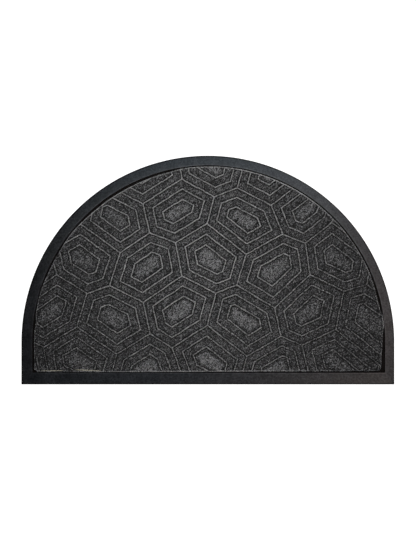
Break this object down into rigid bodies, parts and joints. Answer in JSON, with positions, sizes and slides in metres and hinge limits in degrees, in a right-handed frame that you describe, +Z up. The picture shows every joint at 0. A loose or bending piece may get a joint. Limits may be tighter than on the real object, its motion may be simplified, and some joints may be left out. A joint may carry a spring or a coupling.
{
  "type": "half round doormat",
  "caption": "Half round entrance mat: a moulded black rubber tray with a raised sloping rim, holding an inlay of charcoal needle-punched carpet embossed with nested irregular hexagons.",
  "frame": {"origin": "on the floor under the mat, midway along and across its bounding box", "axes": "+X along the straight edge, +Y from the straight edge towards the crown of the arc, +Z up"},
  "size_m": [0.75, 0.46, 0.0076],
  "materials": {
    "rubber": "moulded black rubber with a fine matt grain",
    "felt": "charcoal needle-punched polypropylene carpet, embossed"
  },
  "bodies": {
    "root": {"rubber_tray": "rubber", "carpet_inlay": "felt"}
  },
  "joints": []
}
